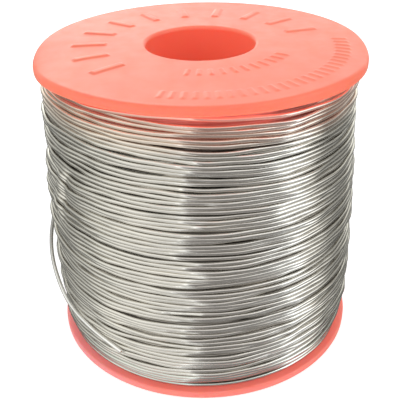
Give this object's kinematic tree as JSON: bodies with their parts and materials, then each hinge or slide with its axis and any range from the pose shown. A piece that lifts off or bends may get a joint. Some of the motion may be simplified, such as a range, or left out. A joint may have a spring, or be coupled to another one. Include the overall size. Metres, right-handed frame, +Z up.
{
  "type": "solder wire spool",
  "caption": "Cylindrical plastic spool with two thin flanges and a plain through bore, wound full with soft metal solder wire whose free end lies loose against the winding.",
  "frame": {"origin": "centre of the underside, on the bore's axis, in the plane the spool stands on", "axes": "+Z up along the bore's axis; -Y is the front as seen in the picture, and +X is to its right"},
  "size_m": [0.0659, 0.064, 0.0622],
  "materials": {
    "spool_plastic": "moulded coral polystyrene, slightly translucent, satin gloss",
    "solder_wire": "bright drawn tin-lead wire, slightly uneven",
    "flux_rosin": "amber solid rosin"
  },
  "bodies": {
    "root": {"lower_half": "spool_plastic", "upper_half": "spool_plastic", "wire_start_end": "solder_wire", "wire_base_layer": "solder_wire", "wire_inner_layers": "solder_wire", "wire_under_layer": "solder_wire", "wire_outer_layer": "solder_wire", "wire_loose_end": "solder_wire", "flux_core": "flux_rosin"}
  },
  "joints": []
}
